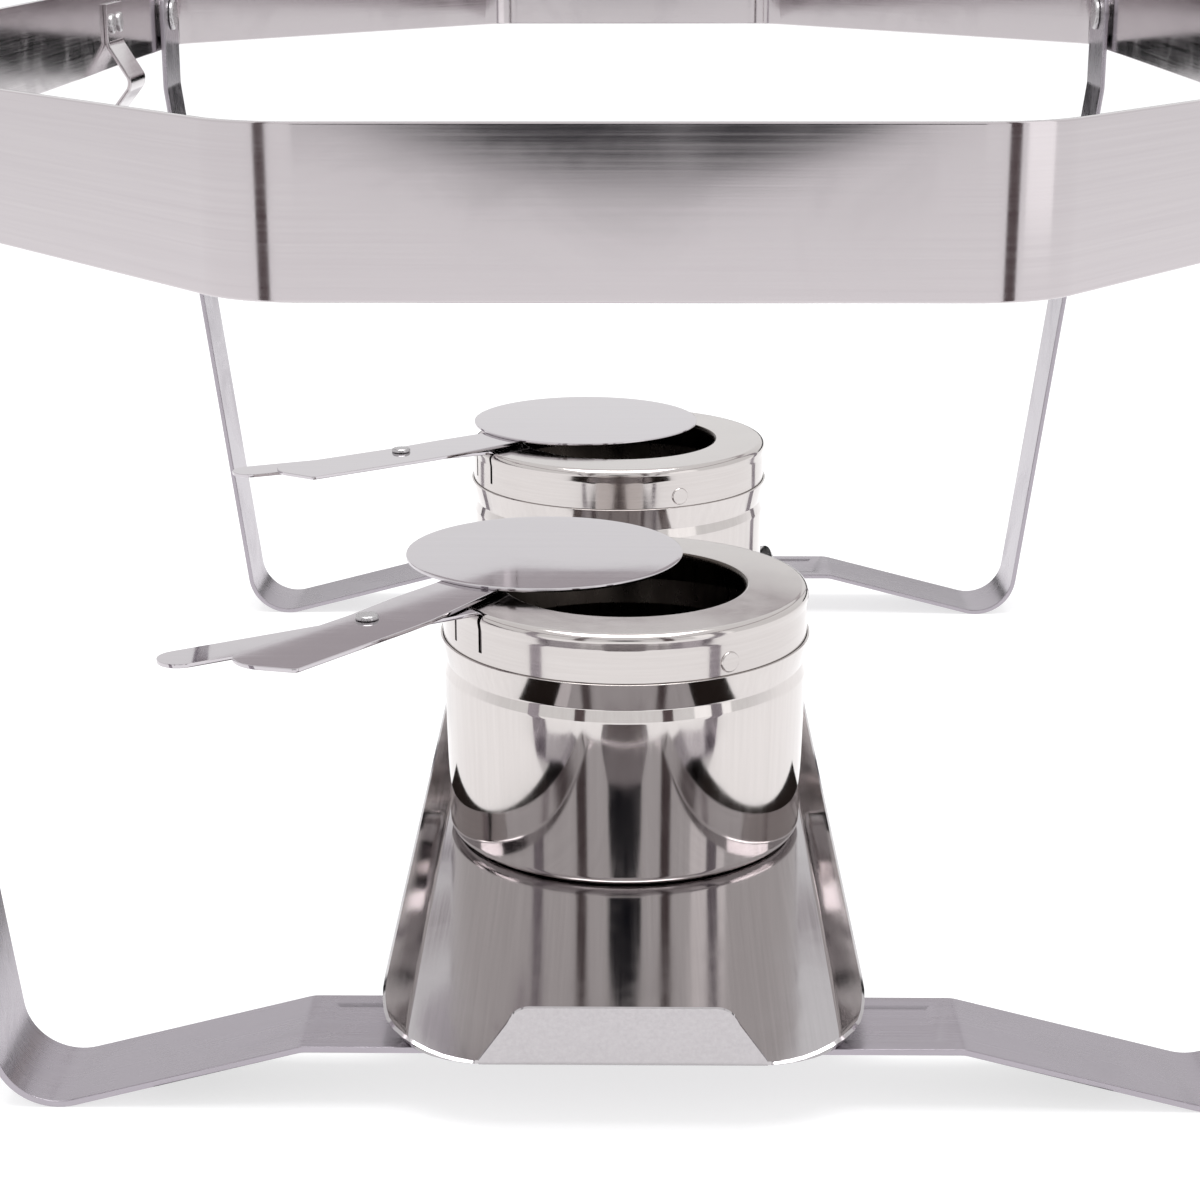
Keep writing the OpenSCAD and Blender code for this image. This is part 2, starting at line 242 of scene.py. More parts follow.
BAND_WIDTH = 319 * MM
BAND_LENGTH = 670 * MM
BAND_HEIGHT = 24 * MM
BAND_THICK = 1.2 * MM
BAND_TOP = 219.7 * MM
BAND_LOW = BAND_TOP - BAND_HEIGHT
BAND_IN = BAND_WIDTH / 2 - BAND_THICK
PIVOT_Y = 182.4 * MM
PIVOT_Z = 207 * MM
LEG_OUT = BAND_IN - 0.8 * MM
LEG_WIDTH = 25 * MM
LEG_THICK = 1.5 * MM
TRAY_X = -2 * MM
TRAY_LOW = 14.55 * MM
TRAY_THICK = 0.8 * MM
SEAT_Z = TRAY_LOW + TRAY_THICK + 0.05 * MM
SHELL = 0.6 * MM
# places on a fuel holder, in mm: out from its axis, and up from the cup's base
PIVOT_REACH = 73
DISC_REACH = 71
DISC_RADIUS = 36
HANDLE_REACH = 126
HANDLE_WIDTH = 11
HANDLE_MIDDLE = 64.7
ROOT_OUT = 44.76
ROOT_LOW = 54
FLAP_HALF = 5.4
SLIT_WIDE = 1.2
SLIT_IN = 43.9
SLIT_LOW = 55
SLIT_HIGH = 63.9
GRIP_UP = 55.7
GRIP_RADIUS = 2.6
HOLDERS = {
    "near": {"seat": Vector((-2, -66.9, 0)) * MM, "turn": -147, "open": 22.5},
    "far": {"seat": Vector((-4.4, 99.7, 0)) * MM, "turn": -156, "open": 14},
}
for holder in HOLDERS.values():
    holder["seat"].z = SEAT_Z


# ---------------------------------------------------------------- band and legs


def make_top_band():
    """The eight-sided band, on edge."""
    x, y = BAND_WIDTH / 2 - BAND_THICK / 2, BAND_LENGTH / 2 - BAND_THICK / 2
    side, end, z = 206.7 * MM, 53.7 * MM, BAND_LOW + BAND_HEIGHT / 2
    loop = [(x, 0, z), (x, side, z), (end, y, z), (-end, y, z), (-x, side, z),
            (-x, -side, z), (-end, -y, z), (end, -y, z), (x, -side, z), (x, 0, z)]
    points = rounded(loop, [17.4 * MM] * 8, step=3.5)
    band = bent_strip("Top_band", points, (0, 0, BAND_HEIGHT), BAND_THICK, edge=0.35 * MM)
    begin(band)
    bpy.ops.mesh.select_all(action="SELECT")
    bpy.ops.mesh.remove_doubles(threshold=2e-6)
    done()
    smooth(band)
    return band


def make_stop(side, end):
    """A small tab lanced inwards from the band, for the open leg to lean against."""
    y = end * (PIVOT_Y + LEG_WIDTH / 2 + 0.3 * MM)
    low, high = BAND_LOW + 1 * MM, BAND_LOW + 5.5 * MM
    path = rounded([(side * (BAND_IN + 0.2 * MM), y + end * 2.4 * MM, (low + high) / 2),
                    (side * (BAND_IN - 1 * MM), y + end * 1.4 * MM, (low + high) / 2),
                    (side * (BAND_IN - 1.9 * MM), y + end * 0.6 * MM, (low + high) / 2)],
                   [1 * MM])
    stop = bent_strip(f"Leg_stop_{'L' if side < 0 else 'R'}{'n' if end < 0 else 'f'}", path,
                      (0, 0, high - low), 0.9 * MM, edge=0.15 * MM)
    smooth(stop)
    return stop


def make_leg(name, y):
    """A U of strip: raised flat bar with a pressed panel, round feet, leaning sides, round tops."""
    slope, lean = math.radians(14.5), math.radians(7.2)
    half_thick = LEG_THICK / 2
    mid_r = 14 * MM - half_thick
    centre = Vector((122 * MM, 0, 14 * MM))
    down = Vector((-math.sin(slope), 0, -math.cos(slope)))
    out = Vector((math.cos(lean), 0, -math.sin(lean)))
    foot = centre + (down + out) * mid_r / (1 + down.dot(out))
    bar_z = 14.5 * MM - half_thick
    flat_x = foot.x - (bar_z - foot.z) / math.tan(slope)
    side_x = LEG_OUT - half_thick
    bend_z = foot.z + (side_x - foot.x) / math.tan(lean)
    half = [(flat_x, y, bar_z), (foot.x, y, foot.z), (side_x, y, bend_z),
            (side_x, y, PIVOT_Z + LEG_WIDTH / 2)]
    radii = [8 * MM, mid_r, 12 * MM]
    corners = [(-px, py, pz) for px, py, pz in reversed(half)] + half
    points = rounded(corners, list(reversed(radii)) + radii, step=5)
    across = Vector((0, LEG_WIDTH, 0))
    piece = single_vertex(points[0] - across / 2)
    bpy.ops.mesh.extrude_region_move(TRANSFORM_OT_translate={"value": across})
    bpy.ops.mesh.select_all(action="SELECT")
    bpy.ops.mesh.select_mode(type="EDGE")
    run_along(points)
    bpy.ops.mesh.select_all(action="SELECT")
    bpy.ops.mesh.remove_doubles(threshold=2e-6)
    bpy.ops.mesh.normals_make_consistent(inside=False)
    # round ends about the pivots
    pick(piece, "VERT", lambda p, n: p.z > PIVOT_Z + LEG_WIDTH / 2 - 0.1 * MM)
    bpy.ops.mesh.bevel(offset=LEG_WIDTH / 2 - 0.05 * MM, segments=12, affect="VERTICES")
    # pressed panel in the flat of the bar
    pick(piece, "FACE", lambda p, n: abs(p.x) < 5 * MM and p.z < 20 * MM)
    bpy.ops.mesh.inset(thickness=4.2 * MM, depth=0)
    bpy.ops.mesh.inset(thickness=0.8 * MM, depth=0)
    bpy.ops.transform.translate(value=(0, 0, -0.45 * MM))
    done()
    finish_mesh(piece, name)
    modify(piece, "SOLIDIFY", thickness=LEG_THICK, offset=0, use_even_offset=True)
    round_edges(piece, 0.3 * MM)
    smooth(piece)
    return piece


def disc_head(name, place, axis, r, h):
    """A rivet head: a low domed button whose back is at the place."""
    deselect_all()
    turn = Vector((0, 0, 1)).rotation_difference(Vector(axis)).to_euler()
    bpy.ops.mesh.primitive_cylinder_add(vertices=32, radius=r, depth=h,
                                        location=Vector(place) + Vector(axis) * h / 2,
                                        rotation=turn)
    bpy.ops.object.transform_apply(location=True, rotation=True, scale=True)
    head = bpy.context.object
    finish_mesh(head, name)
    begin(head)
    pick(head, "FACE", lambda p, n: n.dot(Vector(axis)) > 0.9)
    bpy.ops.mesh.bevel(offset=h * 0.75, segments=4, affect="EDGES")
    done()
    smooth(head, 40)
    return head


def pin(name, place, axis, r, length):
    """A rivet's shank, with its ends broken."""
    deselect_all()
    turn = Vector((0, 0, 1)).rotation_difference(Vector(axis)).to_euler()
    bpy.ops.mesh.primitive_cylinder_add(vertices=32, radius=r, depth=length,
                                        location=Vector(place) + Vector(axis) * length / 2,
                                        rotation=turn)
    bpy.ops.object.transform_apply(location=True, rotation=True, scale=True)
    body = finish_mesh(bpy.context.object, name)
    begin(body)
    pick(body, "FACE", lambda p, n: abs(n.dot(Vector(axis))) > 0.9)
    bpy.ops.mesh.bevel(offset=r * 0.08, segments=2, affect="EDGES")
    done()
    smooth(body, 40)
    return body


def make_leg_rivets(name, y):
    """The two pivots of a leg, each a shank with a head inside the leg and one outside the band."""
    parts = []
    inner = LEG_OUT - LEG_THICK - 0.3 * MM
    outer = BAND_WIDTH / 2
    for side in (-1, 1):
        parts.append(pin(f"{name}_pin", (side * inner, y, PIVOT_Z), (side, 0, 0), 2.5 * MM,
                         outer - inner))
        parts.append(disc_head(f"{name}_out", (side * outer, y, PIVOT_Z), (side, 0, 0), 5 * MM,
                               1.2 * MM))
        parts.append(disc_head(f"{name}_in", (side * inner, y, PIVOT_Z), (-side, 0, 0), 5 * MM,
                               1.2 * MM))
    return join(*parts)


def make_leg_washers(name, y):
    """Spacers between the leg's tops and the band."""
    parts = []
    for side in (-1, 1):
        path = [Vector((2.5, 0, 0)) * MM, Vector((7, 0, 0)) * MM]
        ring = thicken(spun(f"{name}_ring", path, (0, 0, 0), steps=48), 0.75 * MM)
        deselect_all()
        ring.select_set(True)
        bpy.context.view_layer.objects.active = ring
        ring.rotation_euler = (0, math.pi / 2, 0)
        ring.location = (side * (BAND_IN - 0.375 * MM), y, PIVOT_Z)
        bpy.ops.object.transform_apply(location=True, rotation=True, scale=True)
        parts.append(ring)
    return join(*parts)


def make_side_bracket():
    """A bent strip riveted inside the band's left side."""
    corners = [Vector((x, 96, z)) * MM for x, z in
               ((-157.7, 215), (-157.7, 203), (-151.6, 193), (-151.6, 190.5), (-157.9, 182.5),
                (-157.9, 172), (-154, 167))]
    points = rounded(corners, [r * MM for r in (4, 3, 3, 5, 3)], step=6)
    bracket = bent_strip("Side_bracket", points, (0, 22 * MM, 0), 1.2 * MM)
    smooth(bracket)
    return bracket


def make_bracket_rivets():
    """Two rivets through the band and the side bracket."""
    parts = []
    for y in (90.5, 101.5):
        inner, outer = -157.1 * MM, -159.5 * MM
        parts.append(pin("Bracket_pin", (inner, y * MM, 209 * MM), (-1, 0, 0), 1.5 * MM, 2.4 * MM))
        parts.append(disc_head("Bracket_head_in", (inner, y * MM, 209 * MM), (1, 0, 0), 3 * MM,
                               0.9 * MM))
        parts.append(disc_head("Bracket_head_out", (outer, y * MM, 209 * MM), (-1, 0, 0), 3 * MM,
                               0.9 * MM))
    rivets = join(*parts)
    return finish_mesh(rivets, "Bracket_rivets")


# ---------------------------------------------------------------- burner tray


def make_tray():
    """Folded sheet: a floor, two flared lips that run down to nothing, an upturned tab each end."""
    mid = TRAY_LOW + TRAY_THICK / 2
    fold, rise, reach = 46.5 * MM, 6.1 * MM, 5.3 * MM
    end_y = 202.3 * MM
    section = rounded([(-fold - reach, 0, rise), (-fold, 0, 0), (fold, 0, 0),
                       (fold + reach, 0, rise)], [1.6 * MM, 1.6 * MM], step=8)
    middle = len(section) // 2
    section[middle:middle] = [Vector((x, 0, 0)) * MM for x in (-30, 30)]
    # share of the lip's height left, and half the floor's width, at places along the tray
    lip_left = {0: 1, 172: 1, 179: 0.98, 184: 0.92, 188: 0.82, 191: 0.7, 193.5: 0.56, 195.5: 0.42,
                197.3: 0.28, 199: 0.16, 200.5: 0.08, 201.6: 0.04, 202.3: 0.02}
    floor_half = {191: 46.4, 193.5: 45.7, 195.5: 44.5, 197.3: 42.8, 199: 40.6, 200.5: 37.8,
                  201.6: 34.9, 202.3: 31.6}
    stations = sorted({sign * y for y in lip_left for sign in (-1, 1)})
    piece = single_vertex(Vector((TRAY_X, stations[0] * MM, mid)) + section[0])
    run_along(section)
    bpy.ops.mesh.select_all(action="SELECT")
    run_along([Vector((0, y * MM, 0)) for y in stations])
    mesh = bmesh.from_edit_mesh(piece.data)
    inner = fold - 0.9 * MM
    for vert in mesh.verts:
        x, side = abs(vert.co.x - TRAY_X), math.copysign(1, vert.co.x - TRAY_X)
        y = min(lip_left, key=lambda place: abs(place - abs(vert.co.y) / MM))
        left = lip_left[y]
        if x > inner:
            x = inner + (x - inner) * max(left, 0.12)
            vert.co.z = mid + (vert.co.z - mid) * left
            if y in floor_half:
                x += floor_half[y] * MM - fold
        vert.co.x = TRAY_X + side * x
    bmesh.update_edit_mesh(piece.data)
    for end in (-1, 1):
        pick(piece, "EDGE", lambda p, along: abs(p.x - TRAY_X) < 29 * MM
             and abs(p.y - end * end_y) < 1e-5 and abs(along.x) > 0.99)
        run_along([Vector((0, end * y, z)) * MM for y, z in
                   ((0, 0), (0.5, 0.13), (0.87, 0.5), (1, 1), (1.9, 9.8), (2.3, 13.6))])
        top = mid + 13.6 * MM
        for low, share in ((9.7, 0.80), (13.5, 0.735)):
            pick(piece, "VERT", lambda p, n: abs(p.z - mid - low * MM - 0.1 * MM) < 0.3 * MM
                 and p.y * end > end_y)
            bpy.ops.transform.resize(value=(share, 1, 1), center_override=(TRAY_X, 0, top))
        pick(piece, "VERT", lambda p, n: p.z > top - 0.3 * MM and p.y * end > end_y)
        bpy.ops.mesh.bevel(offset=2.6 * MM, segments=6, affect="VERTICES")
    bpy.ops.mesh.select_all(action="SELECT")
    bpy.ops.mesh.normals_make_consistent(inside=False)
    done()
    finish_mesh(piece, "Burner_tray")
    modify(piece, "SOLIDIFY", thickness=TRAY_THICK, offset=0, use_even_offset=False)
    round_edges(piece, 0.15 * MM)
    smooth(piece, 30)
    return piece


# ---------------------------------------------------------------- fuel holders


class Spot:
    """Places on one holder: `out` along the handle, `side` across it, `up` from the cup's base."""

    def __init__(self, holder):
        angle = math.radians(holder["turn"])
        self.seat = holder["seat"]
        self.out = Vector((math.cos(angle), math.sin(angle), 0))
        self.side = Vector((-math.sin(angle), math.cos(angle), 0))

    def at(self, out, side, up):
        """A place in millimetres from the cup's base centre."""
        return self.seat + (self.out * out + self.side * side + Vector((0, 0, up))) * MM


def profile(corners, radii, step=9):
    """A turned piece's outline, its corners given as (radius, height) in mm."""
    return rounded([Vector((r, 0, z)) * MM for r, z in corners], [r * MM for r in radii], step)


def make_cup(name, spot):
    """Spun cup with a necked, flared mouth."""
    line = profile([(0, 0.3), (44.75, 0.3), (45.7, 42.5), (45.0, 45.5), (46.62, 52.45)],
                   [2.4, 2.5, 1.2])
    cup = spun(name, line, spot.seat)
    return thicken(cup, SHELL, 0.15 * MM)


def make_cap(name, spot):
    """Pressed ring and skirt over a plug, slit beside the handle and dimpled where it grips."""
    line = profile([(30.8, 62.9), (30.8, 64.3), (46.5, 64.3), (45.9, 60.6), (45.9, 52.3),
                    (44.1, 45.9), (44.1, 43.2)], [0.7, 1.6, 4, 0.8, 1])
    cap = spun(name, line, spot.seat)
    begin(cap)
    slit_out = FLAP_HALF + SLIT_WIDE
    for side in (-slit_out, -FLAP_HALF, FLAP_HALF, slit_out):
        bpy.ops.mesh.select_all(action="SELECT")
        bpy.ops.mesh.bisect(plane_co=spot.at(0, side, 0), plane_no=spot.side)
    bpy.ops.mesh.select_all(action="SELECT")
    bpy.ops.mesh.bisect(plane_co=spot.at(SLIT_IN, 0, 0), plane_no=spot.out)
    for up in (SLIT_LOW, SLIT_HIGH):
        bpy.ops.mesh.select_all(action="SELECT")
        bpy.ops.mesh.bisect(plane_co=spot.at(0, 0, up), plane_no=(0, 0, 1))

    def in_slit(p, n):
        place = p - spot.seat
        out, side, up = place.dot(spot.out) / MM, abs(place.dot(spot.side)) / MM, place.z / MM
        return out > SLIT_IN and ((FLAP_HALF < side < slit_out and up > SLIT_LOW)
                                  or (side < slit_out and up > SLIT_HIGH))

    pick(cap, "FACE", in_slit)
    bpy.ops.mesh.delete(type="FACE")
    done()
    thicken(cap, SHELL, 0.1 * MM)
    dimples = []
    for turn in (-90, 90, 180):
        angle = math.radians(turn)
        facing = spot.out * math.cos(angle) + spot.side * math.sin(angle)
        dimples.append(disc_head(f"{name}_dimple", spot.seat + facing * 46.05 * MM
                                 + Vector((0, 0, GRIP_UP * MM)), facing, GRIP_RADIUS * MM,
                                 0.55 * MM))
    return finish_mesh(join(cap, *dimples), name)


def make_handle(name, spot):
    """Flat tongue with a round tip, turned down at its root inside the cap's skirt."""
    tip = spot.at(HANDLE_REACH, 0, HANDLE_MIDDLE)
    path = rounded([spot.at(ROOT_OUT, 0, ROOT_LOW), spot.at(ROOT_OUT, 0, HANDLE_MIDDLE), tip],
                   [1.6 * MM], step=12)
    across = spot.side * HANDLE_WIDTH * MM
    piece = single_vertex(path[0] - across / 2)
    bpy.ops.mesh.extrude_region_move(TRANSFORM_OT_translate={"value": across})
    bpy.ops.mesh.select_all(action="SELECT")
    bpy.ops.mesh.select_mode(type="EDGE")
    run_along(path)
    pick(piece, "VERT", lambda p, n: (p - tip).dot(spot.out) > -0.5 * MM)
    bpy.ops.mesh.bevel(offset=5.3 * MM, segments=10, affect="VERTICES")
    bpy.ops.mesh.select_all(action="SELECT")
    bpy.ops.mesh.normals_make_consistent(inside=False)
    done()
    finish_mesh(piece, name)
    return thicken(piece, 1 * MM, 0.18 * MM)


def swing_frame(spot, angle):
    """The damper's own directions: along to the disc, and across, for its rest position."""
    turn = math.radians(180 + angle)
    along = spot.out * math.cos(turn) + spot.side * math.sin(turn)
    across = spot.side * math.cos(turn) - spot.out * math.sin(turn)
    return along, across


def make_lever(name, spot, angle):
    """Wide lever from its thumb tail, over the pivot, to under the disc."""
    along, across = swing_frame(spot, angle)
    pivot = spot.at(PIVOT_REACH, 0, 0)
    corners = [(0, -13.2), (-38.6, -12.2), (-43.2, 0), (-40, 7), (0, 5.6), (17, 6.4), (33, 6.3),
               (52, 7), (52, -8), (38, -10.2), (8, -13.2), (0, -13.2)]
    radii = [1.5, 9, 4.5, 40, 12, 12, 3, 3, 10, 14]
    line = rounded([pivot + (along * x + across * y) * MM for x, y in corners],
                   [r * MM for r in radii], step=9)
    return outlined(name, line[:-1], spot.seat.z + 65.55 * MM, 1 * MM, 0.2 * MM)


def make_disc(name, spot, angle):
    """Round damper plate that lies on the lever."""
    along = swing_frame(spot, angle)[0]
    centre = spot.at(PIVOT_REACH, 0, 66.95) + along * DISC_REACH * MM
    deselect_all()
    bpy.ops.mesh.primitive_circle_add(vertices=180, radius=DISC_RADIUS * MM, fill_type="NGON",
                                      location=centre)
    bpy.ops.object.transform_apply(location=True, rotation=True, scale=True)
    disc = finish_mesh(bpy.context.object, name)
    begin(disc)
    bpy.ops.mesh.select_all(action="SELECT")
    bpy.ops.mesh.inset(thickness=1.5 * MM, depth=0)
    done()
    return thicken(disc, 0.8 * MM, 0.2 * MM, 40)


def make_pivot(name, spot):
    """Rivet through the handle, washer and lever, with a domed head above and a foot below."""
    body = pin(name + "_pin", spot.at(PIVOT_REACH, 0, 64.2), (0, 0, 1), 1.55 * MM, 2.55 * MM)
    head = disc_head(name + "_head", spot.at(PIVOT_REACH, 0, 66.75), (0, 0, 1), 2.8 * MM, 1 * MM)
    foot = disc_head(name + "_foot", spot.at(PIVOT_REACH, 0, 64.2), (0, 0, -1), 2.6 * MM, 0.8 * MM)
    return finish_mesh(join(body, head, foot), name)


def make_pivot_washer(name, spot):
    """Thin spacer between the handle and the lever."""
    line = [Vector((1.6, 0, 65.35)) * MM, Vector((4.5, 0, 65.35)) * MM]
    ring = spun(name, line, spot.at(PIVOT_REACH, 0, 0), steps=40)
    return thicken(ring, 0.28 * MM, 0)


# ---------------------------------------------------------------- finishes


def tint(hex_colour):
    """An sRGB hex colour as linear red, green, blue and alpha."""
    parts = [int(hex_colour[i:i + 2], 16) / 255 for i in (1, 3, 5)]
    return (*[c / 12.92 if c <= 0.04045 else ((c + 0.055) / 1.055) ** 2.4 for c in parts], 1)


def add(tree, kind, sockets=None, **settings):
    """Adds a node with its settings; a socket given another node's output is linked to it."""
    new = tree.nodes.new("ShaderNode" + kind)
    for key, value in settings.items():
        setattr(new, key, value)
    for key, value in (sockets or {}).items():
        if isinstance(value, bpy.types.NodeSocket):
            tree.links.new(value, new.inputs[key])
        else:
            new.inputs[key].default_value = value
    return new


def blank(name):
    """A new material and its empty node tree."""
    material = bpy.data.materials.new(name)
    material.use_nodes = True
    material.node_tree.nodes.clear()
    return material, material.node_tree


def steel(name, colour, dark, rough, rough_more, grain, wave=0.0, wave_size=20, line_depth=0.0):
    """Polished or brushed stainless steel. `grain` is the brushing's size in mm along X, Y, Z."""
    material, tree = blank(name)
    place = add(tree, "TexCoord").outputs["Object"]
    lines_at = add(tree, "Mapping", {"Vector": place,
                                     "Scale": tuple(1 / (size * MM) for size in grain)})
    lines = add(tree, "TexNoise", {"Vector": lines_at.outputs[0], "Scale": 1.0, "Detail": 3.0,
                                   "Roughness": 0.6})
    # finger marks and wipe marks, 15 to 40 mm across
    smudge = add(tree, "TexNoise", {"Vector": place, "Scale": 38.0, "Detail": 4.0,
                                    "Roughness": 0.62, "Distortion": 0.8})
    smudge_edge = add(tree, "MapRange", {"Value": smudge.outputs[0], "From Min": 0.46,
                                         "From Max": 0.72, "To Min": 0.0, "To Max": 1.0})
    line_part = add(tree, "MapRange", {"Value": lines.outputs[0], "From Min": 0.3,
                                       "From Max": 0.7, "To Min": rough,
                                       "To Max": rough + rough_more})
    roughness = add(tree, "Math", {0: smudge_edge.outputs[0], 1: rough_more * 1.2,
                                   2: line_part.outputs[0]}, operation="MULTIPLY_ADD")
    mixed = add(tree, "Mix", {"Factor": lines.outputs[0], "A": tint(dark), "B": tint(colour)},
                data_type="RGBA")
    shader = add(tree, "BsdfPrincipled", {"Metallic": 1.0, "Roughness": roughness.outputs[0]})
    shader.name = "Steel"
    tree.links.new(mixed.outputs["Result"], shader.inputs["Base Color"])
    normal = None
    if wave:
        # slow waviness left by rolling and pressing
        slow = add(tree, "TexNoise", {"Vector": place, "Scale": 1 / (wave_size * MM),
                                      "Detail": 1.0, "Roughness": 0.4})
        normal = add(tree, "Bump", {"Strength": 1.0, "Distance": wave * MM,
                                    "Height": slow.outputs[0]}).outputs[0]
    if line_depth:
        settings = {"Strength": 1.0, "Distance": line_depth * MM, "Height": lines.outputs[0]}
        if normal:
            settings["Normal"] = normal
        normal = add(tree, "Bump", settings).outputs[0]
    if normal:
        tree.links.new(normal, shader.inputs["Normal"])
    add(tree, "OutputMaterial", {"Surface": shader.outputs[0]})
    return material


# rolled strip, satin along its length: soft, slightly violet grey reflections
BAND_STEEL = steel("Stainless_304_satin_strip", "#C8C2C4", "#BCB5B8", 0.09, 0.05,
                   (60, 60, 0.5), wave=0.03, wave_size=60, line_depth=0.0008)
# the same strip drawn duller, brushed along its length: darker, with blurred reflections
LEG_STEEL = steel("Stainless_304_satin_leg", "#ACA6AD", "#9D979E", 0.2, 0.08,
                  (50, 0.5, 50), wave=0.05, wave_size=50, line_depth=0.001)
# buffed sheet: near-mirror with faint haze
TRAY_STEEL = steel("Stainless_430_buffed_sheet", "#BDB9BB", "#ABA7A9", 0.08, 0.04,
                   (0.8, 80, 0.8), wave=0.006, wave_size=45)
# cups and caps, drawn or pressed and then buffed on a wheel: bright and faintly warm
CUP_STEEL = steel("Stainless_430_deep_drawn_buffed", "#CFCAC8", "#C2BCBA", 0.05, 0.03,
                  (1.5, 1.5, 60), wave=0.03, wave_size=25)
CAP_STEEL = steel("Stainless_430_pressed_buffed", "#CBC6C4", "#BDB7B5", 0.07, 0.05,
                  (30, 30, 0.6), wave=0.02, wave_size=18)
# discs, levers and handles, cut from polished plate: the clearest reflections
DAMPER_STEEL = steel("Stainless_430_polished_plate", "#C4BFC3", "#BBB6BA", 0.03, 0.02,
                     (60, 1.2, 60), wave=0.012, wave_size=30)
# turned pins and heads: duller, fine-grained, no clear reflections
RIVET_STEEL = steel("Stainless_rivet_turned", "#BDBBBC", "#A9A6A8", 0.22, 0.08,
                    (0.6, 0.6, 0.6), line_depth=0.001)
# the holders' insides: painted shade, a dark and dull finish on the faces inside the cups and caps
INSIDE_SHADE_STEEL = steel("Stainless_430_painted_inside_shade", "#5A524D", "#38332F", 0.22, 0.1,
                     (2, 2, 40), wave=0.02, wave_size=10)


def paint_inside_shade(piece, spot, material):
    """Paints shade: gives the faces that look at the holder's axis, or up from its floor, the dark
    material.
    """
    piece.data.materials.append(material)
    begin(piece)

    def inside(p, n):
        out = Vector((p.x - spot.seat.x, p.y - spot.seat.y, 0))
        up = (p.z - spot.seat.z) / MM
        if up < 3:
            return n.z > 0.5 and out.length < 44 * MM
        return n.dot(out.normalized()) < -0.3 or (n.z < -0.5 and up > 62 and out.length < 45 * MM)

    pick(piece, "FACE", inside)
    piece.active_material_index = 1
    bpy.ops.object.material_slot_assign()
    done()
    deselect_all()


def finish_piece(piece, material, body, slot, *nodes):
    """Gives a piece its finish and says which body it rides and which CAD nodes it replaces."""
    piece.data.materials.clear()
    piece.data.materials.append(material)
    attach(piece, body)
    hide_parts(*nodes)


# ---------------------------------------------------------------- the stand

finish_piece(make_top_band(), BAND_STEEL, "frame", "band_steel", "top_band")
for side in (-1, 1):
    for end in (-1, 1):
        finish_piece(make_stop(side, end), BAND_STEEL, "frame", "band_steel", "top_band")
finish_piece(make_side_bracket(), BAND_STEEL, "frame", "band_steel", "side_bracket")
finish_piece(make_bracket_rivets(), RIVET_STEEL, "frame", "rivet_steel", "bracket_rivets")
for which, y in (("near", -PIVOT_Y), ("far", PIVOT_Y)):
    finish_piece(make_leg(f"{which.title()}_leg", y), LEG_STEEL, f"{which}_leg", "leg_steel",
                 f"{which}_leg")
    rivets = finish_mesh(make_leg_rivets(f"{which.title()}_leg_rivets", y),
                         f"{which.title()}_leg_rivets")
    finish_piece(rivets, RIVET_STEEL, "frame", "rivet_steel", f"{which}_leg_rivets")
    washers = finish_mesh(make_leg_washers(f"{which.title()}_leg_washers", y),
                          f"{which.title()}_leg_washers")
    finish_piece(washers, RIVET_STEEL, "frame", "rivet_steel", f"{which}_leg_washers")
finish_piece(make_tray(), TRAY_STEEL, "tray", "tray_steel", "burner_tray")
for which, holder in HOLDERS.items():
    spot, title = Spot(holder), which.title()
    cup, cap = make_cup(f"{title}_cup", spot), make_cap(f"{title}_cap", spot)
    finish_piece(cup, CUP_STEEL, f"{which}_cup", "cup_steel", f"{which}_cup")
    finish_piece(cap, CAP_STEEL, f"{which}_cap", "cap_steel", f"{which}_cap")
    # painted shade on the insides of the cup and cap
    paint_inside_shade(cup, spot, INSIDE_SHADE_STEEL)
    paint_inside_shade(cap, spot, INSIDE_SHADE_STEEL)
    finish_piece(make_handle(f"{title}_handle", spot), DAMPER_STEEL, f"{which}_cap",
                 "damper_steel", f"{which}_handle")
    finish_piece(make_lever(f"{title}_damper_lever", spot, holder["open"]), DAMPER_STEEL,
                 f"{which}_damper", "damper_steel", f"{which}_damper_lever")
    finish_piece(make_disc(f"{title}_damper_disc", spot, holder["open"]), DAMPER_STEEL,
                 f"{which}_damper", "damper_steel", f"{which}_damper_disc")
    finish_piece(make_pivot(f"{title}_pivot_rivet", spot), RIVET_STEEL, f"{which}_cap",
                 "rivet_steel", f"{which}_pivot_rivet")
    finish_piece(make_pivot_washer(f"{title}_pivot_washer", spot), RIVET_STEEL, f"{which}_cap",
                 "rivet_steel", f"{which}_pivot_washer")


# ---------------------------------------------------------------- table, light and camera


def make_floor():
    """A seamless pale table top, far larger than the stand."""
    deselect_all()
    bpy.ops.mesh.primitive_plane_add(size=30, location=(0, 6, 0))
    bpy.ops.object.transform_apply(location=True, rotation=True, scale=True)
    floor = finish_mesh(bpy.context.object, "Table")
    material, tree = blank("Matt_white_table")
    # partly self-lit, like a table lit from underneath, so that shadows stay faint
    shader = add(tree, "BsdfPrincipled", {"Base Color": tint("#A8A8A9"), "Roughness": 0.85,
                                          "Specular IOR Level": 0.0,
                                          "Emission Color": tint("#FFFFFF"),
                                          "Emission Strength": 0.66})
    add(tree, "OutputMaterial", {"Surface": shader.outputs[0]})
    floor.data.materials.append(material)


def make_light(name, place, look_at, width, depth, power):
    """A soft overhead box light; sizes in metres, power in watts."""
    deselect_all()
    bpy.ops.object.light_add(type="AREA", location=place)
    lamp = bpy.context.object
    lamp.name = name
    lamp.data.shape = "RECTANGLE"
    lamp.data.size = width
    lamp.data.size_y = depth
    lamp.data.energy = power
    lamp.rotation_euler = (Vector(look_at) - Vector(place)).to_track_quat("-Z", "Y").to_euler()


